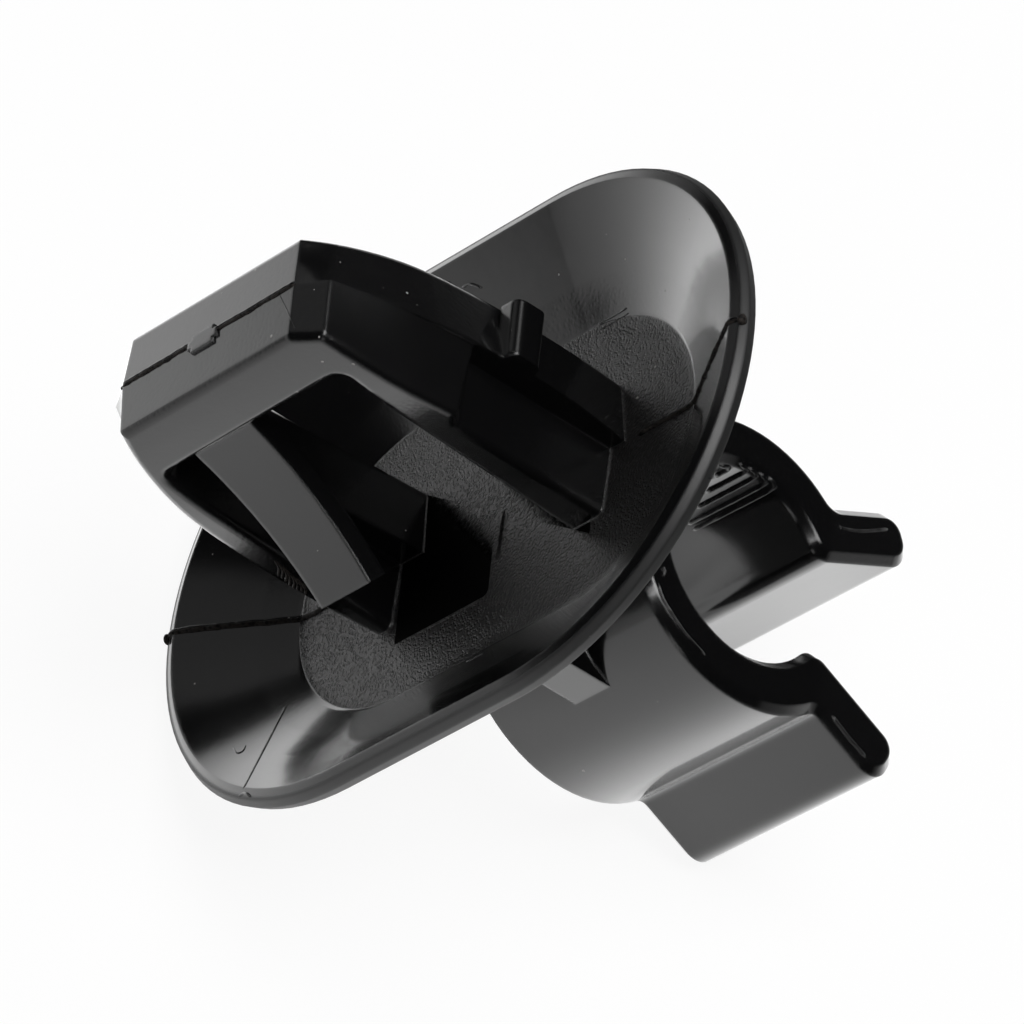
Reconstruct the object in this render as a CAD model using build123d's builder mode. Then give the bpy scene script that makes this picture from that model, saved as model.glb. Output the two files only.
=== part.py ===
from build123d import *
import os
from math import cos, radians, sin, sqrt, tan

os.makedirs("parts", exist_ok=True)

# A bonnet prop rod clip, moulded in one piece. +Z points out of the panel, towards the mouth of the
# jaws, and X runs along the held rod. The origin is on the axis of the anchor, in the face of the
# flange that looks at the panel. The mould parts along the plane Y = 0.

# Rod and the jaws that grip it
rod_diameter = 8.0
rod_clearance = 0.06
jaw_wall = 2.15
jaw_length = 10.1
jaw_edge_chamfer = 0.35
jaw_gap_over_flange = 1.15
throat_angle = 61.0
throat_radius = 0.9
neck_radius = 0.6
lip_angle = 25.0
lip_wall = 2.25
lip_length = 5.45
lip_end_rounding = 1.0

# Dished flange that presses on the panel
flange_length = 31.9
flange_width = 22.7
flange_shift = -0.27
floor_width = 12.7
flange_wall = 1.0
dish_depth = 2.9
skirt_slope = 31.0
skirt_knee_depth = 1.75
floor_bend_radius = 1.6
rim_chamfer = 0.32

# Post and rib between the flange and the jaws
post_length = 8.4
post_width = 4.6
rib_wall = 1.9
rib_width = 11.0

# Anchor: a tip and two legs that stand in the panel's slot
anchor_depth = 14.6
tip_width = 9.6
tip_wall = 2.7
shoulder_wall = 1.2
shoulder_drop = 0.7
thickness_at_tip = 4.55
thickness_at_legs = 5.8
taper_below_step = 0.8
mould_draft = 3.0
leg_rounding = 0.75
anchor_edge_radius = 0.35
window_width = 9.6
window_corner_radius = 0.5

# Bowed half of each leg
shoulder_bow = 6.65
shoulder_bow_depth = 11.4
belly = 7.05
belly_depth = 9.5
bulge = 7.35
bulge_depth = 6.6
bowed_foot = 6.95
bowed_leg_wall = 1.5

# Stepped half of each leg
step_depth = 7.8
step_run = 0.5
stepped_foot = 6.2
stepped_leg_wall = 2.05

# Lug on one leg that catches behind the panel
lug_height = 0.55
lug_width = 1.5
lug_length = 2.5
lug_rounding = 0.4

# Spring tongues of the anchor
tongue_width = 3.1
tongue_end_width = 2.6
tongue_wall = 1.0
tongue_reach = 6.4
tongue_end_depth = 5.4
tongue_bow = 0.35

# Places worked out from the sizes above
bore_radius = rod_diameter / 2 + rod_clearance
jaw_radius = bore_radius + jaw_wall
rod_height = flange_wall + jaw_gap_over_flange + jaw_radius
end_centre = (flange_length - flange_width) / 2
wall_middle = flange_wall / 2
window_depth = anchor_depth - tip_wall
tip_taper_depth = step_depth + taper_below_step
skirt_knee_reach = skirt_knee_depth / tan(radians(skirt_slope))

# Flange: a quarter of the dish as one bent strip, mirrored twice
with BuildPart() as flange:
    with BuildSketch(Plane.YZ) as strip:
        with BuildLine():
            slope = FilletPolyline(
                (0, wall_middle),
                (floor_width / 2, wall_middle),
                (floor_width / 2 + skirt_knee_reach, wall_middle - skirt_knee_depth),
                radius=floor_bend_radius,
            )
            TangentArc(slope @ 1, (flange_width / 2, wall_middle - dish_depth), tangent=slope % 1)
        trace(line_width=flange_wall)
        chamfer(strip.vertices().sort_by(Axis.X)[-2:], rim_chamfer)
    extrude(amount=end_centre)
    with BuildSketch(Plane.YZ.offset(end_centre)):
        add(strip.sketch_local)
    revolve(axis=Axis((end_centre, 0, 0), (0, 0, -1)), revolution_arc=90)
    mirror(about=Plane.XZ)
    mirror(about=Plane.YZ)


half_thickness = thickness_at_legs / 2


def anchor_outline(distance):
    """Outline of one half of the anchor, with the bowed leg at +X, at a distance from the parting
    plane. The mould's draft draws each face in as the distance grows."""
    draft = distance * tan(radians(mould_draft))
    rounding = leg_rounding * distance / half_thickness
    shoulder_x = window_width / 2 + shoulder_wall - draft
    shoulder_z = shoulder_drop - anchor_depth + draft
    window_x = window_width / 2 + draft
    with BuildSketch(Plane.XZ.offset(distance)) as outline:
        with BuildLine():
            Polyline(
                (shoulder_x - rounding, shoulder_z + rounding),
                (tip_width / 2 - draft, draft - anchor_depth),
                (draft - tip_width / 2, draft - anchor_depth),
                (-shoulder_x, shoulder_z),
            )
            ThreePointArc(
                (-shoulder_x, shoulder_z),
                (draft + rounding / 2 - shoulder_bow, -shoulder_bow_depth),
                (draft + rounding / 2 - belly, -step_depth),
            )
            Polyline(
                (draft + rounding / 2 - belly, -step_depth),
                (draft - stepped_foot, step_run - step_depth),
                (draft - stepped_foot, 0),
                (stepped_leg_wall - stepped_foot - draft, 0),
            )
            FilletPolyline(
                (stepped_leg_wall - stepped_foot - draft, 0),
                (-window_x, -window_depth - draft),
                (window_x, -window_depth - draft),
                (bowed_foot - bowed_leg_wall + draft, 0),
                radius=window_corner_radius,
            )
            Line((bowed_foot - bowed_leg_wall + draft, 0), (bowed_foot - draft - rounding / 2, 0))
            bow = ThreePointArc(
                (bowed_foot - draft - rounding / 2, 0),
                (bulge - draft - rounding, -bulge_depth),
                (belly - draft - rounding, -belly_depth),
            )
            TangentArc(bow @ 1, (shoulder_x - rounding, shoulder_z + rounding), tangent=bow % 1)
        make_face()
    return outline.sketch


# Anchor: one half beside the parting plane, and the same half turned about the axis
parting_outline = anchor_outline(0)
outer_outline = anchor_outline(half_thickness)
with BuildPart() as anchor:
    loft([parting_outline, outer_outline], ruled=True)
    add(anchor.part.rotate(Axis.Z, 180))
    with BuildSketch(Plane.YZ):
        with BuildLine():
            side = Line((half_thickness, 0), (half_thickness, -tip_taper_depth))
            taper = TangentArc(side @ 1, (thickness_at_tip / 2, -anchor_depth), tangent=side % 1)
            Polyline(taper @ 1, (0, -anchor_depth), (0, 0), side @ 0)
        make_face()
        mirror(about=Plane.YZ)
    extrude(amount=2 * bulge, both=True, mode=Mode.INTERSECT)
    outer_edges = anchor.edges().filter_by(
        lambda edge: abs(edge.center().Y) > thickness_at_tip / 2 - 0.01
        and edge.center().Z < 0
        and not (edge.geom_type == GeomType.LINE and abs(edge.center().Z + tip_taper_depth) < 0.01)
    )
    fillet(outer_edges, anchor_edge_radius)

# Lug: a rounded bar across one bowed leg
with BuildPart() as lug:
    with BuildSketch(Plane.XZ) as lug_outline:
        with Locations((bowed_foot, -bulge_depth)):
            Rectangle(bulge - bowed_foot + lug_height, lug_width, align=(Align.MIN, Align.MIN))
        fillet(lug_outline.vertices().group_by(Axis.X)[-1], lug_rounding)
    extrude(amount=lug_length)

# Spring tongues: a bowed strip from the tip, flaring out to each side
tongue_root = (thickness_at_tip / 2 - tongue_wall / 2, -window_depth - tongue_wall)
tongue_end = (tongue_reach - tongue_wall / 2, -tongue_end_depth)
tongue_middle = (
    (tongue_root[0] + tongue_end[0]) / 2 - tongue_bow,
    (tongue_root[1] + tongue_end[1]) / 2 + tongue_bow,
)
with BuildPart() as tongues:
    with BuildSketch(Plane.YZ):
        with BuildLine():
            ThreePointArc(tongue_root, tongue_middle, tongue_end)
        trace(line_width=tongue_wall)
    extrude(amount=-tongue_width)
    with BuildSketch(Plane.XZ):
        with BuildLine():
            Polyline(
                (0, -anchor_depth),
                (-tongue_width, -anchor_depth),
                (-tongue_width, -window_depth),
                (-tongue_end_width, tongue_wall - tongue_end_depth),
                (0, tongue_wall - tongue_end_depth),
                close=True,
            )
        make_face()
    extrude(amount=-2 * tongue_reach, mode=Mode.INTERSECT)
    add(tongues.part.rotate(Axis.Z, 180))

# Jaws: the outline of one arm and its flared lip, mirrored
along_lip = Vector(sin(radians(lip_angle)), cos(radians(lip_angle)))
across_lip = Vector(cos(radians(lip_angle)), -sin(radians(lip_angle)))
throat_corner = Vector(0, rod_height) + Vector(bore_radius, 0).rotate(Axis.Z, throat_angle)
lip_end = throat_corner + along_lip * lip_length
mouth_point = throat_corner - along_lip * (throat_corner.X / along_lip.X)
lip_offset = across_lip.dot(throat_corner - Vector(0, rod_height)) + lip_wall
neck = Vector(0, rod_height) + across_lip * lip_offset + along_lip * sqrt(jaw_radius**2 - lip_offset**2)
with BuildPart() as jaws:
    with BuildSketch(Plane.YZ) as arm:
        with Locations((0, rod_height)):
            Circle(jaw_radius)
        with BuildLine():
            Polyline(
                throat_corner,
                lip_end,
                lip_end + across_lip * lip_wall,
                throat_corner + across_lip * lip_wall,
                close=True,
            )
        make_face()
        with BuildLine():
            Polyline(
                mouth_point,
                lip_end,
                (0, lip_end.Y),
                (-2 * jaw_radius, lip_end.Y),
                (-2 * jaw_radius, 0),
                (0, 0),
                close=True,
            )
        make_face(mode=Mode.SUBTRACT)
        with Locations((0, rod_height)):
            Circle(bore_radius, mode=Mode.SUBTRACT)
        fillet(arm.vertices().sort_by_distance(throat_corner)[0], throat_radius)
        fillet(arm.vertices().sort_by_distance(neck)[0], neck_radius)
        fillet(arm.vertices().sort_by_distance(lip_end)[0], lip_end_rounding)
        fillet(arm.vertices().sort_by_distance(lip_end + across_lip * lip_wall)[0], lip_end_rounding)
        mirror(about=Plane.YZ)
    extrude(amount=jaw_length / 2, both=True)
    chamfer(jaws.faces().filter_by(Axis.X).edges(), jaw_edge_chamfer)

# Post along the rod and rib across it, up to the jaws
rib_top = rod_height - sqrt(jaw_radius**2 - (rib_width / 2) ** 2)
post_top = rod_height - bore_radius - jaw_wall / 2
with BuildPart() as post:
    with BuildSketch(Plane.XY.offset(wall_middle)):
        Rectangle(post_length, post_width)
    extrude(amount=post_top - wall_middle)
    with BuildSketch(Plane.XY.offset(wall_middle)):
        Rectangle(rib_wall, rib_width)
    extrude(amount=rib_top - wall_middle)
    with BuildSketch(Plane.YZ):
        with Locations((0, rod_height)):
            Circle(bore_radius + jaw_wall / 2)
    extrude(amount=jaw_length, both=True, mode=Mode.SUBTRACT)

# The whole clip
with BuildPart() as prop_rod_clip:
    with Locations((flange_shift, 0, 0)):
        add(flange.part)
    add(post.part)
    add(jaws.part)
    add(anchor.part)
    add(lug.part)
    add(tongues.part)

prop_rod_clip.part.label = "prop_rod_clip"
export_step(prop_rod_clip.part, "parts/prop_rod_clip.step")
print("clip volume", round(prop_rod_clip.part.volume, 1), "solids", len(prop_rod_clip.solids()))
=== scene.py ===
from math import cos, hypot, pi, radians, sin
import bmesh
import bpy
from mathutils import Matrix, Vector, noise
from mathutils.bvhtree import BVHTree


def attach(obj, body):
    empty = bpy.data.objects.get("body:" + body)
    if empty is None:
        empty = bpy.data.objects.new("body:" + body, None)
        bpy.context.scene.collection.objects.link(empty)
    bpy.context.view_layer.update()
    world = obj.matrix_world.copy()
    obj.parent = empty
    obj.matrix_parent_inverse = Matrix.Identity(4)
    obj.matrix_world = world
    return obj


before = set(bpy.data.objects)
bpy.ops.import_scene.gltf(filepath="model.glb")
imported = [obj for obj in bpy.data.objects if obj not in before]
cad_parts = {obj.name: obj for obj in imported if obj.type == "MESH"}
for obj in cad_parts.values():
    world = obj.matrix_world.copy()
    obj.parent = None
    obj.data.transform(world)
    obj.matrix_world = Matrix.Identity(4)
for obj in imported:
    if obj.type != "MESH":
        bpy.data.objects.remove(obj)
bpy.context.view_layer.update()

mm = 0.001
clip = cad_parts["prop_rod_clip"]


# helpers
def newMaterial(name):
    mat = bpy.data.materials.new(name)
    mat.use_nodes = True
    mat.node_tree.nodes.clear()
    return mat, mat.node_tree


def addNode(tree, kind, place=(0, 0), **values):
    node = tree.nodes.new(kind)
    node.location = place
    for name, value in values.items():
        setattr(node, name, value)
    return node


def wire(tree, source, target):
    tree.links.new(source, target)


def turnTo(obj, forward, up=Vector((0, 0, 1))):
    # -Z of lamps and cameras looks along forward
    back = -forward.normalized()
    side = up.cross(back).normalized()
    obj.rotation_euler = Matrix((side, back.cross(side), back)).transposed().to_euler()


def newGroup(name, inputs, outputs):
    group = bpy.data.node_groups.new(name, "ShaderNodeTree")
    for label, kind, value in inputs:
        socket = group.interface.new_socket(label, in_out="INPUT", socket_type=kind)
        if value is not None:
            socket.default_value = value
    for label, kind in outputs:
        group.interface.new_socket(label, in_out="OUTPUT", socket_type=kind)
    entry = addNode(group, "NodeGroupInput", (-900, 0))
    leave = addNode(group, "NodeGroupOutput", (900, 0))
    return group, entry, leave


def placeGroup(tree, group, place, **values):
    node = addNode(tree, "ShaderNodeGroup", place)
    node.node_tree = group
    for name, value in values.items():
        node.inputs[name].default_value = value
    return node


def maths(tree, kind, place, first=None, second=None, third=None, clamp=False):
    # a Math node whose inputs are sockets or plain numbers
    node = addNode(tree, "ShaderNodeMath", place, operation=kind)
    node.use_clamp = clamp
    for index, value in enumerate((first, second, third)):
        if value is None:
            continue
        if isinstance(value, (int, float)):
            node.inputs[index].default_value = value
        else:
            wire(tree, value, node.inputs[index])
    return node.outputs[0]


def fade(tree, place, value, low, high):
    # 0 at low and 1 at high, smooth between them
    node = addNode(tree, "ShaderNodeMapRange", place, interpolation_type="SMOOTHSTEP")
    wire(tree, value, node.inputs["Value"])
    node.inputs["From Min"].default_value = low
    node.inputs["From Max"].default_value = high
    return node.outputs["Result"]


# camera
photoView = {
    "place": (178.81, 161.18, -147.06),   # mm, in the part's own frame
    "aim": (0.336, -0.04, 0.364),
    "up": (0.37306, -0.81627, -0.44106),
    "lens": 263.68,
    "sensor": 36,
    "frame": 1024,                        # px, side of the square photograph
}
camera = bpy.data.objects.new("camera", bpy.data.cameras.new("camera"))
bpy.context.scene.collection.objects.link(camera)
camera.location = Vector(photoView["place"]) * mm
camera.data.lens = photoView["lens"]
camera.data.sensor_width = photoView["sensor"]
camera.data.clip_start = 0.01
camera.data.clip_end = 50
turnTo(camera, Vector(photoView["aim"]) - Vector(photoView["place"]), Vector(photoView["up"]))
bpy.context.scene.camera = camera
print("camera set")


# effects that several materials use
def makeGrainGroup():
    # eroded mould grain: fine pits of mixed size
    group, entry, leave = newGroup(
        "mouldGrain",
        [("Position", "NodeSocketVector", None), ("Scale", "NodeSocketFloat", 7000.0)],
        [("Height", "NodeSocketFloat")],
    )
    coarse = addNode(group, "ShaderNodeTexNoise", (-500, 150))
    coarse.inputs["Detail"].default_value = 3
    coarse.inputs["Roughness"].default_value = 0.7
    wire(group, entry.outputs["Position"], coarse.inputs["Vector"])
    wire(group, entry.outputs["Scale"], coarse.inputs["Scale"])
    pits = addNode(group, "ShaderNodeTexVoronoi", (-500, -150))
    wire(group, entry.outputs["Position"], pits.inputs["Vector"])
    wire(group, entry.outputs["Scale"], pits.inputs["Scale"])
    depth = fade(group, (-250, -150), pits.outputs["Distance"], 0.1, 0.6)
    both = maths(group, "MULTIPLY_ADD", (100, 0), coarse.outputs["Fac"], 1.2, depth)
    wire(group, both, leave.inputs["Height"])
    return group


def makeStadiumGroup():
    # distance in mm from the outline of a stadium that lies across Z
    group, entry, leave = newGroup(
        "stadium",
        [
            ("Position", "NodeSocketVector", None),
            ("Half straight", "NodeSocketFloat", 4.6),
            ("Radius", "NodeSocketFloat", 6.4),
            ("Shift", "NodeSocketFloat", 0.0),
        ],
        [("Outside", "NodeSocketFloat")],
    )
    split = addNode(group, "ShaderNodeSeparateXYZ", (-700, 0))
    wire(group, entry.outputs["Position"], split.inputs[0])
    x = maths(group, "MULTIPLY", (-520, 100), split.outputs["X"], 1000)
    y = maths(group, "MULTIPLY", (-520, -100), split.outputs["Y"], 1000)
    moved = maths(group, "SUBTRACT", (-350, 100), x, entry.outputs["Shift"])
    away = maths(group, "ABSOLUTE", (-200, 100), moved)
    past = maths(group, "SUBTRACT", (-50, 100), away, entry.outputs["Half straight"])
    endPart = maths(group, "MAXIMUM", (100, 100), past, 0.0)
    reach = maths(group, "POWER", (250, 100), endPart, 2.0)
    side = maths(group, "POWER", (250, -100), y, 2.0)
    total = maths(group, "ADD", (400, 0), reach, side)
    length = maths(group, "SQRT", (550, 0), total)
    outside = maths(group, "SUBTRACT", (700, 0), length, entry.outputs["Radius"])
    wire(group, outside, leave.inputs["Outside"])
    return group


def makeDustGroup():
    # a few tiny pale specks, few and far between
    group, entry, leave = newGroup(
        "dust",
        [
            ("Position", "NodeSocketVector", None),
            ("Scale", "NodeSocketFloat", 900.0),
            ("Size", "NodeSocketFloat", 0.06),
            ("Share", "NodeSocketFloat", 0.1),
        ],
        [("Mask", "NodeSocketFloat")],
    )
    cells = addNode(group, "ShaderNodeTexVoronoi", (-500, 0))
    wire(group, entry.outputs["Position"], cells.inputs["Vector"])
    wire(group, entry.outputs["Scale"], cells.inputs["Scale"])
    pick = addNode(group, "ShaderNodeSeparateColor", (-250, 200))
    wire(group, cells.outputs["Color"], pick.inputs[0])
    chosen = maths(group, "LESS_THAN", (-50, 200), pick.outputs[0], entry.outputs["Share"])
    own = maths(group, "MULTIPLY", (-50, 0), pick.outputs[1], entry.outputs["Size"])
    near = maths(group, "LESS_THAN", (150, 0), cells.outputs["Distance"], own)
    mask = maths(group, "MULTIPLY", (350, 100), chosen, near)
    wire(group, mask, leave.inputs["Mask"])
    return group


grainGroup = makeGrainGroup()
stadiumGroup = makeStadiumGroup()
dustGroup = makeDustGroup()
print("shared effects done")


# black plastic of the clip: satin legs and lips, glossy dish and ring, grained floor
plastic = {
    "colour": (0.0028, 0.0028, 0.0030, 1),
    "grainColour": (0.012, 0.0110, 0.0104, 1),
    "dustColour": (0.30, 0.29, 0.28, 1),
    "ior": 1.6,
    "coatIor": 1.6,
    "coatRough": 0.10,
    "coatShare": 0.85,          # at a grazing look
    "roughDish": 0.16,
    "roughRing": 0.12,
    "roughSatin": 0.20,
    "roughFloor": 0.38,
    "roughRim": 0.35,           # added on the rim's outer wall
    "roughDust": 0.4,           # added on the specks
    "floorOutline": {"Half straight": 4.6, "Radius": 6.35, "Shift": -0.2},   # mm
    "dust": {"Scale": 1100.0, "Size": 0.075, "Share": 0.5},
    "grainScale": 8000.0,
    "satinScale": 5000.0,
    "speckleScale": 8000.0,
    "waveScale": 260.0,
    "grainHeight": 0.026,       # mm
    "satinHeight": 0.0012,
    "waveHeight": 0.012,        # slow waves that bend the reflections
    "edgeSoftness": 0.20,       # mm, radius of the smallest edges
}


def makeClipPlastic():
    mat, tree = newMaterial("clipPlastic")
    output = addNode(tree, "ShaderNodeOutputMaterial", (1500, 0))
    shader = addNode(tree, "ShaderNodeBsdfPrincipled", (1200, 0))
    wire(tree, shader.outputs["BSDF"], output.inputs["Surface"])
    shader.inputs["IOR"].default_value = plastic["ior"]
    shader.inputs["Coat IOR"].default_value = plastic["coatIor"]
    shader.inputs["Coat Roughness"].default_value = plastic["coatRough"]

    place = addNode(tree, "ShaderNodeTexCoord", (-1500, 0))
    position = place.outputs["Object"]
    split = addNode(tree, "ShaderNodeSeparateXYZ", (-1300, -300))
    wire(tree, position, split.inputs[0])
    height = maths(tree, "MULTIPLY", (-1100, -300), split.outputs["Z"], 1000)

    # grained floor: flat and inside the floor's outline
    floorEdge = placeGroup(tree, stadiumGroup, (-1300, 300), **plastic["floorOutline"])
    wire(tree, position, floorEdge.inputs["Position"])
    inside = fade(tree, (-1000, 300), floorEdge.outputs["Outside"], 0.04, -0.04)
    level = fade(tree, (-1000, 100), maths(tree, "ABSOLUTE", (-1100, 100), height), 0.12, 0.06)
    grained = maths(tree, "MULTIPLY", (-800, 250), inside, level)

    # satin: anchor and lips
    onAnchor = fade(tree, (-1000, -100), height, -0.12, -0.2)
    inAnchor = fade(tree, (-1000, -500), floorEdge.outputs["Outside"], 1.6, 1.4)
    anchorMask = maths(tree, "MULTIPLY", (-800, -200), onAnchor, inAnchor)
    lipMask = fade(tree, (-1000, -700), height, 12.0, 12.6)
    satin = maths(tree, "MAXIMUM", (-600, -300), anchorMask, lipMask)
    onRing = fade(tree, (-1000, -900), height, 1.2, 1.6)

    # the rim's outer wall is cut, not polished
    pastRim = fade(tree, (-1000, -1100), floorEdge.outputs["Outside"], 4.72, 4.9)
    underRing = fade(tree, (-1000, -1300), height, -0.9, -1.1)
    onRim = maths(tree, "MULTIPLY", (-800, -1200), pastRim, underRing)

    # roughness
    base = addNode(tree, "ShaderNodeMix", (-400, 0), data_type="FLOAT")
    wire(tree, onRing, base.inputs["Factor"])
    base.inputs["A"].default_value = plastic["roughDish"]
    base.inputs["B"].default_value = plastic["roughRing"]
    second = addNode(tree, "ShaderNodeMix", (-200, 0), data_type="FLOAT")
    wire(tree, satin, second.inputs["Factor"])
    wire(tree, base.outputs["Result"], second.inputs["A"])
    second.inputs["B"].default_value = plastic["roughSatin"]
    third = addNode(tree, "ShaderNodeMix", (0, 0), data_type="FLOAT")
    wire(tree, grained, third.inputs["Factor"])
    wire(tree, second.outputs["Result"], third.inputs["A"])
    third.inputs["B"].default_value = plastic["roughFloor"]
    cloud = addNode(tree, "ShaderNodeTexNoise", (-200, 300))
    cloud.inputs["Scale"].default_value = plastic["waveScale"]
    cloud.inputs["Detail"].default_value = 4
    wire(tree, position, cloud.inputs["Vector"])
    swing = maths(tree, "MULTIPLY_ADD", (0, 300), cloud.outputs["Fac"], 0.10, -0.05)
    rough = maths(tree, "ADD", (200, 100), third.outputs["Result"], swing)
    rough = maths(tree, "MULTIPLY_ADD", (350, 100), onRim, plastic["roughRim"], rough)

    # colour with dust
    colour = addNode(tree, "ShaderNodeMix", (300, 400), data_type="RGBA")
    wire(tree, grained, colour.inputs["Factor"])
    colour.inputs["A"].default_value = plastic["colour"]
    speckle = addNode(tree, "ShaderNodeTexNoise", (-200, 600))
    speckle.inputs["Scale"].default_value = plastic["speckleScale"]
    speckle.inputs["Detail"].default_value = 1
    wire(tree, position, speckle.inputs["Vector"])
    speckled = addNode(tree, "ShaderNodeMix", (100, 600), data_type="RGBA")
    paleShare = fade(tree, (-50, 700), speckle.outputs["Fac"], 0.42, 0.62)
    wire(tree, paleShare, speckled.inputs["Factor"])
    speckled.inputs["A"].default_value = plastic["colour"]
    speckled.inputs["B"].default_value = plastic["grainColour"]
    wire(tree, speckled.outputs["Result"], colour.inputs["B"])
    dust = placeGroup(tree, dustGroup, (0, 600), **plastic["dust"])
    wire(tree, position, dust.inputs["Position"])
    dusted = addNode(tree, "ShaderNodeMix", (600, 400), data_type="RGBA")
    wire(tree, dust.outputs["Mask"], dusted.inputs["Factor"])
    wire(tree, colour.outputs["Result"], dusted.inputs["A"])
    dusted.inputs["B"].default_value = plastic["dustColour"]
    wire(tree, dusted.outputs["Result"], shader.inputs["Base Color"])
    onDust = dust.outputs["Mask"]
    rough = maths(tree, "MULTIPLY_ADD", (600, 100), onDust, plastic["roughDust"], rough, clamp=True)
    wire(tree, rough, shader.inputs["Roughness"])

    # moulded skin shines more at a grazing look, but not on the grain
    look = addNode(tree, "ShaderNodeLayerWeight", (600, 750))
    grazing = fade(tree, (800, 750), look.outputs["Facing"], 0.3, 0.62)
    dull = maths(tree, "MAXIMUM", (700, 550), grained, onRim)
    coatShare = plastic["coatShare"]
    smooth = maths(tree, "MULTIPLY_ADD", (850, 550), dull, -coatShare, coatShare)
    coat = maths(tree, "MULTIPLY", (1000, 650), grazing, smooth)
    wire(tree, coat, shader.inputs["Coat Weight"])

    # relief: soft small edges, grain on the floor, faint satin grain elsewhere
    edges = addNode(tree, "ShaderNodeBevel", (300, -300), samples=6)
    edges.inputs["Radius"].default_value = plastic["edgeSoftness"] * mm
    grain = placeGroup(tree, grainGroup, (-200, -500), Scale=plastic["grainScale"])
    wire(tree, position, grain.inputs["Position"])
    satinGrain = placeGroup(tree, grainGroup, (-200, -800), Scale=plastic["satinScale"])
    wire(tree, position, satinGrain.inputs["Position"])
    coarse = maths(tree, "MULTIPLY", (100, -500), grain.outputs["Height"], grained)
    coarse = maths(tree, "MULTIPLY", (250, -500), coarse, plastic["grainHeight"] * mm)
    fine = maths(tree, "MULTIPLY", (100, -800), satinGrain.outputs["Height"], satin)
    relief = maths(tree, "MULTIPLY_ADD", (500, -600), fine, plastic["satinHeight"] * mm, coarse)
    wave = plastic["waveHeight"] * mm
    relief = maths(tree, "MULTIPLY_ADD", (650, -600), cloud.outputs["Fac"], wave, relief)
    bump = addNode(tree, "ShaderNodeBump", (800, -400))
    bump.inputs["Distance"].default_value = 1.0     # the heights are in metres
    wire(tree, relief, bump.inputs["Height"])
    wire(tree, edges.outputs["Normal"], bump.inputs["Normal"])
    wire(tree, bump.outputs["Normal"], shader.inputs["Normal"])
    return mat


clipPlastic = makeClipPlastic()
clip.data.materials.clear()
clip.data.materials.append(clipPlastic)
print("plastic done")


# torn plastic of the flash: dull and rough
torn = {
    "colour": (0.002, 0.0018, 0.0017, 1),
    "paleColour": (0.02, 0.017, 0.015, 1),
    "specular": 0.12,
    "grainScale": 6000.0,
    "grainHeight": 0.02,        # mm
}


def makeTornPlastic():
    mat, tree = newMaterial("tornPlastic")
    output = addNode(tree, "ShaderNodeOutputMaterial", (900, 0))
    shader = addNode(tree, "ShaderNodeBsdfPrincipled", (600, 0))
    wire(tree, shader.outputs["BSDF"], output.inputs["Surface"])
    shader.inputs["Specular IOR Level"].default_value = torn["specular"]
    place = addNode(tree, "ShaderNodeTexCoord", (-600, 0))
    grain = placeGroup(tree, grainGroup, (-400, 0), Scale=torn["grainScale"])
    wire(tree, place.outputs["Object"], grain.inputs["Position"])
    colour = addNode(tree, "ShaderNodeMix", (0, 200), data_type="RGBA")
    wire(tree, fade(tree, (-200, 200), grain.outputs["Height"], 1.1, 1.5), colour.inputs["Factor"])
    colour.inputs["A"].default_value = torn["colour"]
    colour.inputs["B"].default_value = torn["paleColour"]
    wire(tree, colour.outputs["Result"], shader.inputs["Base Color"])
    rough = maths(tree, "MULTIPLY_ADD", (0, 0), grain.outputs["Height"], 0.2, 0.3, clamp=True)
    wire(tree, rough, shader.inputs["Roughness"])
    bump = addNode(tree, "ShaderNodeBump", (300, -200))
    bump.inputs["Distance"].default_value = 1.0
    relief = maths(tree, "MULTIPLY", (0, -200), grain.outputs["Height"], torn["grainHeight"] * mm)
    wire(tree, relief, bump.inputs["Height"])
    wire(tree, bump.outputs["Normal"], shader.inputs["Normal"])
    return mat


tornPlastic = makeTornPlastic()


# fine marks of the mould, laid on the clip where the photograph shows them
clipTree = BVHTree.FromPolygons(
    [vertex.co.copy() for vertex in clip.data.vertices],
    [tuple(face.vertices) for face in clip.data.polygons],
)


def throughPixel(x, y):
    # place and normal of the clip behind a pixel of the photograph
    turn = camera.rotation_euler.to_matrix()
    middle = photoView["frame"] / 2
    step = camera.data.sensor_width / camera.data.lens / photoView["frame"]
    direction = turn @ Vector(((x - middle) * step, (middle - y) * step, -1)).normalized()
    return clipTree.ray_cast(camera.location, direction)[:2]


def dropOn(x, y):
    # place and normal of the clip at X and Y in mm, seen from the anchor's side
    return clipTree.ray_cast(Vector((x * mm, y * mm, -50 * mm)), Vector((0, 0, 1)))[:2]


def smoothPath(points, step):
    # a smooth line of 2D points through the given ones
    ends = [points[0]] + list(points) + [points[-1]]
    path = []
    for before, first, last, after in zip(ends, ends[1:], ends[2:], ends[3:]):
        count = max(1, int(hypot(last[0] - first[0], last[1] - first[1]) / step))
        for index in range(count):
            share = index / count
            path.append(tuple(
                0.5 * (
                    2 * b
                    + (c - a) * share
                    + (2 * a - 5 * b + 4 * c - d) * share**2
                    + (3 * b - a - 3 * c + d) * share**3
                )
                for a, b, c, d in zip(before, first, last, after)
            ))
    return path + [points[-1]]


ridge = {
    "profile": ((-0.5, -0.5), (-0.42, 0.25), (-0.16, 1.0), (0.16, 1.0), (0.42, 0.25), (0.5, -0.5)),
    "endShare": 0.25,       # size at the ends
    "faceJump": 0.8,        # mm, a longer step means that the line leaves one face for another
    "unevenScale": 4000,
}


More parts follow.
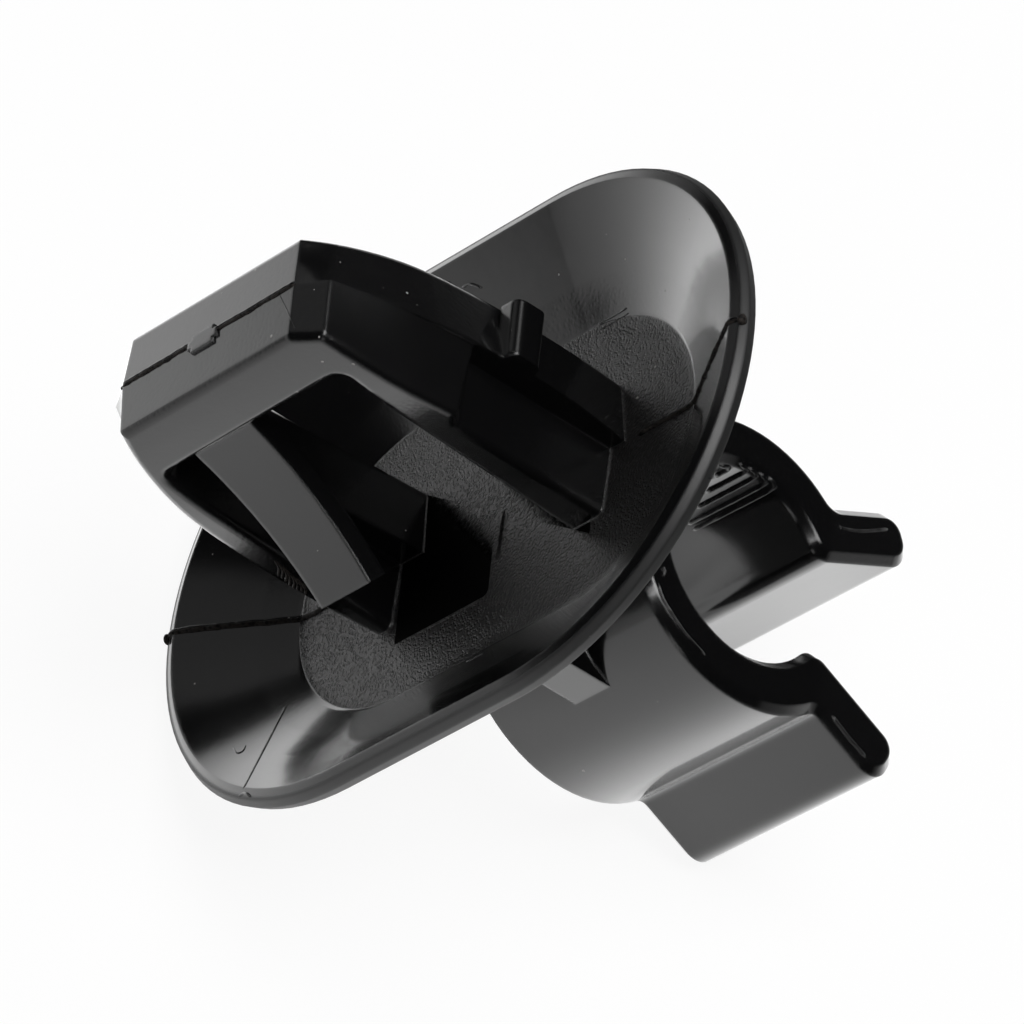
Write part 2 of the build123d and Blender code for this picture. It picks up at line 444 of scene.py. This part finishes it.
def addRidge(bm, spots, width, height, ragged):
    # a low closed ridge along places on the clip, fading out at both ends
    spots = [spot for spot in spots if spot[0] is not None]
    for index in range(1, len(spots)):
        if (spots[index][0] - spots[index - 1][0]).length > ridge["faceJump"] * mm:
            for part in (spots[:index], spots[index:]):
                addRidge(bm, part, width, height, ragged)
            return
    if len(spots) < 3:
        return
    rings = []
    for index, (place, normal) in enumerate(spots):
        following = spots[min(index + 1, len(spots) - 1)][0]
        along = (following - spots[max(index - 1, 0)][0]).normalized()
        side = normal.cross(along).normalized()
        toEnd = min((place - spots[0][0]).length, (place - spots[-1][0]).length) / (width * mm)
        fadeOut = min(1.0, ridge["endShare"] + toEnd)
        uneven = 1 + ragged * noise.noise(place * ridge["unevenScale"])
        ring = []
        for across, up in ridge["profile"]:
            sideways = side * (across * width * fadeOut * mm)
            upward = normal * (up * height * fadeOut * uneven * mm)
            ring.append(bm.verts.new(place + sideways + upward))
        rings.append(ring)
    for first, last in zip(rings, rings[1:]):
        for index in range(len(first)):
            beside = (index + 1) % len(first)
            bm.faces.new((first[index], first[beside], last[beside], last[index]))
    bm.faces.new(list(reversed(rings[0])))
    bm.faces.new(rings[-1])


def addNub(bm, place, size, squash):
    # an uneven crumb of flash
    made = bmesh.ops.create_icosphere(bm, subdivisions=3, radius=size / 2 * mm)
    for vertex in made["verts"]:
        vertex.co *= 1 + 0.35 * noise.noise((place + vertex.co) * 3500)
        vertex.co = place + Vector([c * s for c, s in zip(vertex.co, squash)])


def finishPiece(name, bm, material, smooth=True, turn=0.0):
    bmesh.ops.recalc_face_normals(bm, faces=bm.faces)
    mesh = bpy.data.meshes.new(name)
    bm.to_mesh(mesh)
    bm.free()
    mesh.materials.append(material)
    for face in mesh.polygons:
        face.use_smooth = smooth
    piece = bpy.data.objects.new(name, mesh)
    piece.rotation_euler.z = turn
    bpy.context.scene.collection.objects.link(piece)
    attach(piece, "root")


# flash along the parting plane, on both ends of the dish and across the tip: a dull torn thread
# with a thin shiny edge beside it
flash = {
    "threads": {                    # mm: start and end along X, width, height
        "dishLeft": (-16.15, -7.2, 0.26, 0.10),
        "dishRight": (15.6, 7.6, 0.20, 0.08),
        "tip": (-4.85, 4.85, 0.15, 0.07),
    },
    "edgeShift": -0.13,             # mm along Y, to the shiny edge
    "edgeWidth": 0.12,
    "edgeHeight": 0.06,
    "step": 0.12,
}


def makeFlash():
    thread, edge = bmesh.new(), bmesh.new()
    for start, end, width, height in flash["threads"].values():
        count = int(abs(end - start) / flash["step"])
        alongX = [start + (end - start) * index / count for index in range(count + 1)]
        wander = [0.04 * noise.noise(Vector((x * 1.5, 0, 0))) for x in alongX]
        addRidge(thread, [dropOn(x, y) for x, y in zip(alongX, wander)], width, height, 0.7)
        beside = [dropOn(x, y + flash["edgeShift"]) for x, y in zip(alongX, wander)]
        addRidge(edge, beside, flash["edgeWidth"], flash["edgeHeight"], 0.5)
    finishPiece("partingFlash", thread, tornPlastic)
    finishPiece("partingEdge", edge, clipPlastic)


makeFlash()


# crumbs of flash where the parting plane leaves the rim and the tip
nubs = {
    "rimLeft": {"place": (-16.2, 0.05, -2.55), "size": 0.34, "squash": (0.8, 1.5, 1.1)},
    "rimRight": {"place": (15.68, 0.0, -2.5), "size": 0.36, "squash": (0.8, 1.4, 1.2)},
    "tipLeft": {"place": (-4.95, -0.05, -14.3), "size": 0.42, "squash": (0.9, 0.6, 1.3)},
}
for name, nub in nubs.items():
    bm = bmesh.new()
    addNub(bm, Vector(nub["place"]) * mm, nub["size"], nub["squash"])
    finishPiece("nub." + name, bm, tornPlastic)


# gate mark: a low raised patch on the tip, where the plastic came in
gateMark = {
    "centre": (-0.19, 0.07),
    "size": (1.6, 0.8),
    "height": 0.12,
    "corner": 0.2,
    "brim": 0.03,
}


def makeGateMark():
    bm = bmesh.new()
    place = dropOn(*gateMark["centre"])[0]
    bmesh.ops.create_cube(bm, size=1)
    for vertex in bm.verts:
        vertex.co.x *= gateMark["size"][0] * mm
        vertex.co.y *= gateMark["size"][1] * mm
        vertex.co.z *= 2 * gateMark["height"] * mm
        vertex.co += place
    ways = {edge: (edge.verts[0].co - edge.verts[1].co).normalized() for edge in bm.edges}
    upright = [edge for edge, way in ways.items() if abs(way.z) > 0.9]
    bmesh.ops.bevel(bm, geom=upright, offset=gateMark["corner"] * mm, segments=4, affect="EDGES")
    low = min(vertex.co.z for vertex in bm.verts)
    brim = [edge for edge in bm.edges if all(vertex.co.z < low + 1e-7 for vertex in edge.verts)]
    bmesh.ops.bevel(bm, geom=brim, offset=gateMark["brim"] * mm, segments=2, affect="EDGES")
    finishPiece("gateMark", bm, clipPlastic, smooth=False)


makeGateMark()


# fine curved teeth on the rounded edge of one leg
teeth = {
    "count": 8,
    "arc": ((275, 560), (279, 567), (278, 575)),   # px of the photograph, first tooth
    "step": (3.8, 3.2),
    "width": 0.13,
    "height": 0.08,
}


def makeTeeth():
    bm = bmesh.new()
    for tooth in range(teeth["count"]):
        across, down = tooth * teeth["step"][0], tooth * teeth["step"][1]
        arc = [(x + across, y + down) for x, y in teeth["arc"]]
        spots = [throughPixel(x, y) for x, y in smoothPath(arc, 1.5)]
        addRidge(bm, spots, teeth["width"], teeth["height"], 0.2)
    finishPiece("legTeeth", bm, tornPlastic)


makeTeeth()


# painted shade: a dull black sheet on the flange's floor under each tongue stands for the shade
# there, where the tongue and the leg hide the reflections; it fades out along a slanted shade
# edge; pocket in the flange's floor under each tongue: its depth can't be seen, so a dull black
# skin stands for it, which fades out on the side where the pocket's floor rises
paintedShade = {
    "outline": (                    # mm, X and Y
        (-5.35, -3.4), (-0.15, -0.1), (-0.15, 3.45), (-0.22, 3.62), (-0.4, 3.7), (-5.35, 3.7),
    ),
    "half": 0.012,                  # mm, half of the skin's thickness
    "shadeSlope": 1.15,             # Y over X along the shade's edge
    "shadeStart": 2.45,             # mm, Y of that edge at X = 0
    "shadeRange": (-0.9, 0.6),      # mm, from clear to black
    "raggedScale": 5000.0,
    "raggedReach": 1.2,             # mm
    "colour": (0.0005, 0.0005, 0.0005, 1),
    "specular": 0.03,
}


def makePaintedShadeMaterial():
    mat, tree = newMaterial("paintedShadeDark")
    output = addNode(tree, "ShaderNodeOutputMaterial", (900, 0))
    shader = addNode(tree, "ShaderNodeBsdfPrincipled", (600, 0))
    wire(tree, shader.outputs["BSDF"], output.inputs["Surface"])
    shader.inputs["Specular IOR Level"].default_value = paintedShade["specular"]
    shader.inputs["Base Color"].default_value = paintedShade["colour"]
    place = addNode(tree, "ShaderNodeTexCoord", (-900, 0))
    split = addNode(tree, "ShaderNodeSeparateXYZ", (-700, 200))
    wire(tree, place.outputs["Object"], split.inputs[0])
    slope = -1000 * paintedShade["shadeSlope"]
    x = maths(tree, "MULTIPLY_ADD", (-500, 300), split.outputs["X"], slope, -paintedShade["shadeStart"])
    across = maths(tree, "MULTIPLY_ADD", (-300, 200), split.outputs["Y"], 1000, x)
    ragged = addNode(tree, "ShaderNodeTexNoise", (-500, 0))
    ragged.inputs["Scale"].default_value = paintedShade["raggedScale"]
    wire(tree, place.outputs["Object"], ragged.inputs["Vector"])
    reach = paintedShade["raggedReach"]
    uneven = maths(tree, "MULTIPLY_ADD", (-100, 200), ragged.outputs["Fac"], reach, across)
    # painted shade: the sheet's alpha goes from clear to black across a slanted, ragged edge
    wire(tree, fade(tree, (100, 200), uneven, *paintedShade["shadeRange"]), shader.inputs["Alpha"])
    rough = maths(tree, "MULTIPLY_ADD", (100, 0), ragged.outputs["Fac"], 0.2, 0.6)
    wire(tree, rough, shader.inputs["Roughness"])
    return mat


def makePaintedShadeSheets():
    mat = makePaintedShadeMaterial()
    for turn, name in ((0, "near"), (pi, "far")):
        bm = bmesh.new()
        half = paintedShade["half"] * mm
        corners = [bm.verts.new((x * mm, y * mm, -half)) for x, y in paintedShade["outline"]]
        made = bmesh.ops.extrude_face_region(bm, geom=[bm.faces.new(corners)])["geom"]
        for vertex in (part for part in made if isinstance(part, bmesh.types.BMVert)):
            vertex.co.z = half
        finishPiece("pocket." + name, bm, mat, smooth=False, turn=turn)


makePaintedShadeSheets()


# nested grooves in the arm of the far jaw: the gaps between low walls, one bend beside the next
grooves = {
    "width": 0.20,
    "height": 0.12,
    "bends": (              # px of the photograph: start, before the bend, bend, end
        ((709, 479), (724, 471), (729, 467), (719, 465)),
        ((702, 494), (741, 474), (746, 469), (738, 463)),
        ((695, 509), (750, 480), (756, 474), (748, 467)),
        ((688, 524), (759, 487), (766, 481), (759, 472)),
        ((693, 530), (767, 492), (774, 485), (768, 476)),
    ),
}


def makeGrooves():
    bm = bmesh.new()
    for bend in grooves["bends"]:
        spots = [throughPixel(x, y) for x, y in smoothPath(bend, 2.0)]
        addRidge(bm, spots, grooves["width"], grooves["height"], 0.15)
    finishPiece("armGrooves", bm, clipPlastic)


makeGrooves()


# scratches, creases and threads of flash: width and height in mm, then a line in px of the
# photograph
scratches = {
    "crease": (0.14, 0.03, ((286, 706), (265, 747), (243, 789))),
    "creaseNick": (0.14, 0.06, ((238, 797), (245, 793), (251, 797))),
    "curl": (0.07, 0.035, ((233, 747), (237, 753), (243, 751), (246, 745))),
    "longDash": (0.08, 0.03, ((466, 662), (484, 653))),
    "floorStep": (0.16, 0.07, ((505, 511), (503, 516), (500, 538), (496, 560))),
    "twinUpper": (0.09, 0.03, ((598, 324), (612, 317), (627, 308))),
    "twinLower": (0.06, 0.02, ((600, 330), (614, 322), (629, 313))),
    "tipCorner": (0.06, 0.02, ((296, 330), (285, 306), (277, 290))),
    "rimSliver": (0.16, 0.10, ((661, 566), (664, 571), (663, 577))),
    "shadeEdgeRidge": (0.09, 0.05, ((417, 634), (450, 617), (480, 600))),
    "ringBead": (0.18, 0.05, ((657, 582), (664, 600), (678, 623), (690, 639), (705, 655))),
    "lipBead": (0.18, 0.05, ((831, 715), (848, 737), (866, 758))),
    "farLipBead": (0.16, 0.04, ((838, 527), (860, 531), (888, 529))),
    "byLug": (0.12, 0.08, ((462, 288), (471, 284), (482, 288))),
}


def makeScratches():
    bm = bmesh.new()
    for width, height, line in scratches.values():
        spots = [throughPixel(x, y) for x, y in smoothPath(line, 2.0)]
        addRidge(bm, spots, width, height, 0.5)
    finishPiece("scratches", bm, clipPlastic)


makeScratches()
print("mould marks done")


# floor: the clip lies on the end of its flange and on the lips of its jaws
floorPlan = {
    "normal": (0.858, 0.0, -0.514),
    "gap": 0.02,          # mm left under the clip
    "size": 3.0,          # m
    "colour": (0.88, 0.88, 0.88, 1),
    "farColour": (0.22, 0.22, 0.22, 1),    # in reflections only
    "brightPlace": (18.0, -57.0, 0.0),     # mm, the middle of the part that stays bright there
    "brightReach": (0.05, 0.12),           # m from that place, where it starts and ends to darken
    "shown": 0.92,        # share of plain white that the camera sees, the rest keeps the shadow
    "mirrored": 1.0,      # plain white added in reflections, under the clip
    "spread": 24.0,       # mm, where that white has fallen to a half
}


def makeFloorMaterial():
    mat, tree = newMaterial("paleFloor")
    output = addNode(tree, "ShaderNodeOutputMaterial", (900, 0))
    paint = addNode(tree, "ShaderNodeBsdfDiffuse", (0, 0))
    glow = addNode(tree, "ShaderNodeEmission", (0, -200))
    rays = addNode(tree, "ShaderNodeLightPath", (-400, 300))
    spot = addNode(tree, "ShaderNodeTexCoord", (-1000, -200))
    reach = addNode(tree, "ShaderNodeVectorMath", (-800, -200), operation="LENGTH")
    wire(tree, spot.outputs["Object"], reach.inputs[0])
    # painted light: in reflections the floor glows brightest under the clip and less further out
    share = maths(tree, "DIVIDE", (-600, -200), reach.outputs["Value"], floorPlan["spread"] * mm)
    fall = maths(tree, "MULTIPLY_ADD", (-450, -200), share, share, 1.0)
    near = maths(tree, "DIVIDE", (-300, -200), floorPlan["mirrored"], fall)
    mirrored = maths(tree, "MULTIPLY", (-150, -200), rays.outputs["Is Glossy Ray"], near)
    wire(tree, mirrored, glow.inputs["Strength"])
    # painted shade: in reflections the floor darkens to farColour away from the bright place
    fromBright = addNode(tree, "ShaderNodeVectorMath", (-800, 0), operation="DISTANCE")
    wire(tree, spot.outputs["Object"], fromBright.inputs[0])
    fromBright.inputs[1].default_value = [c * mm for c in floorPlan["brightPlace"]]
    away = fade(tree, (-600, 0), fromBright.outputs["Value"], *floorPlan["brightReach"])
    dimmed = addNode(tree, "ShaderNodeMix", (-200, 0), data_type="RGBA")
    dark = maths(tree, "MULTIPLY", (-400, 0), away, rays.outputs["Is Glossy Ray"])
    wire(tree, dark, dimmed.inputs["Factor"])
    dimmed.inputs["A"].default_value = floorPlan["colour"]
    dimmed.inputs["B"].default_value = floorPlan["farColour"]
    wire(tree, dimmed.outputs["Result"], paint.inputs["Color"])
    shown = addNode(tree, "ShaderNodeEmission", (0, 150))
    lit = addNode(tree, "ShaderNodeAddShader", (200, -100))
    wire(tree, paint.outputs[0], lit.inputs[0])
    wire(tree, glow.outputs[0], lit.inputs[1])
    pale = addNode(tree, "ShaderNodeMixShader", (400, 50))
    seen = maths(tree, "MULTIPLY", (-200, 300), rays.outputs["Is Camera Ray"], floorPlan["shown"])
    wire(tree, seen, pale.inputs[0])
    wire(tree, lit.outputs[0], pale.inputs[1])
    wire(tree, shown.outputs[0], pale.inputs[2])
    behind = addNode(tree, "ShaderNodeNewGeometry", (250, 300))
    clear = addNode(tree, "ShaderNodeBsdfTransparent", (250, -250))
    oneSided = addNode(tree, "ShaderNodeMixShader", (600, 0))
    wire(tree, behind.outputs["Backfacing"], oneSided.inputs[0])
    wire(tree, pale.outputs[0], oneSided.inputs[1])
    wire(tree, clear.outputs[0], oneSided.inputs[2])
    wire(tree, oneSided.outputs[0], output.inputs["Surface"])
    return mat


floorNormal = Vector(floorPlan["normal"]).normalized()


def makeFloor():
    half = floorPlan["size"] / 2
    corners = [(-half, -half, 0), (half, -half, 0), (half, half, 0), (-half, half, 0)]
    mesh = bpy.data.meshes.new("floor")
    mesh.from_pydata(corners, [], [(0, 1, 2, 3)])
    mesh.materials.append(makeFloorMaterial())
    floor = bpy.data.objects.new("floor", mesh)
    bpy.context.scene.collection.objects.link(floor)
    lowest = min(vertex.co.dot(floorNormal) for vertex in clip.data.vertices)
    floor.location = floorNormal * (lowest - floorPlan["gap"] * mm)
    turnTo(floor, -floorNormal)


makeFloor()
print("floor done")


# light
room = {"light": (0.012, 0.012, 0.012, 1), "backdrop": (1, 1, 1, 1)}


def makeWorld():
    world = bpy.data.worlds.new("studio")
    bpy.context.scene.world = world
    world.use_nodes = True
    tree = world.node_tree
    tree.nodes.clear()
    output = addNode(tree, "ShaderNodeOutputWorld", (600, 0))
    dim = addNode(tree, "ShaderNodeBackground", (0, 0))
    dim.inputs["Color"].default_value = room["light"]
    white = addNode(tree, "ShaderNodeBackground", (0, -200))
    white.inputs["Color"].default_value = room["backdrop"]
    rays = addNode(tree, "ShaderNodeLightPath", (0, 300))
    mix = addNode(tree, "ShaderNodeMixShader", (300, 0))
    wire(tree, rays.outputs["Is Camera Ray"], mix.inputs[0])
    wire(tree, dim.outputs[0], mix.inputs[1])
    wire(tree, white.outputs[0], mix.inputs[2])
    wire(tree, mix.outputs[0], output.inputs["Surface"])


makeWorld()

# each box stands at a turn about the floor's normal, where 0 is toward the camera, and at a height
# above the floor, both in degrees; distance and size in m
softBoxes = {
    "overhead": {"turn": 98, "height": 79, "distance": 0.6, "size": (0.46, 0.34), "watts": 4.0},
    "behind": {"turn": 174, "height": 42, "distance": 0.7, "size": (0.16, 0.38), "watts": 0.35},
    "front": {"turn": 6, "height": 24, "distance": 0.75, "size": (0.16, 0.40), "watts": 0.4},
    "left": {"turn": -125, "height": 27, "distance": 0.6, "size": (0.40, 0.30), "watts": 0.10},
}


def makeSoftBoxes():
    towardCamera = camera.location.normalized()
    towardCamera = (towardCamera - floorNormal * towardCamera.dot(floorNormal)).normalized()
    acrossFloor = floorNormal.cross(towardCamera)
    for name, box in softBoxes.items():
        lamp = bpy.data.lights.new(name, "AREA")
        lamp.shape = "RECTANGLE"
        lamp.size, lamp.size_y = box["size"]
        lamp.energy = box["watts"]
        holder = bpy.data.objects.new(name, lamp)
        bpy.context.scene.collection.objects.link(holder)
        turn, rise = radians(box["turn"]), radians(box["height"])
        level = towardCamera * cos(turn) + acrossFloor * sin(turn)
        toward = level * cos(rise) + floorNormal * sin(rise)
        holder.location = toward * box["distance"]
        turnTo(holder, -toward, floorNormal)


makeSoftBoxes()
print("light done")

bpy.context.scene.view_settings.view_transform = "Standard"
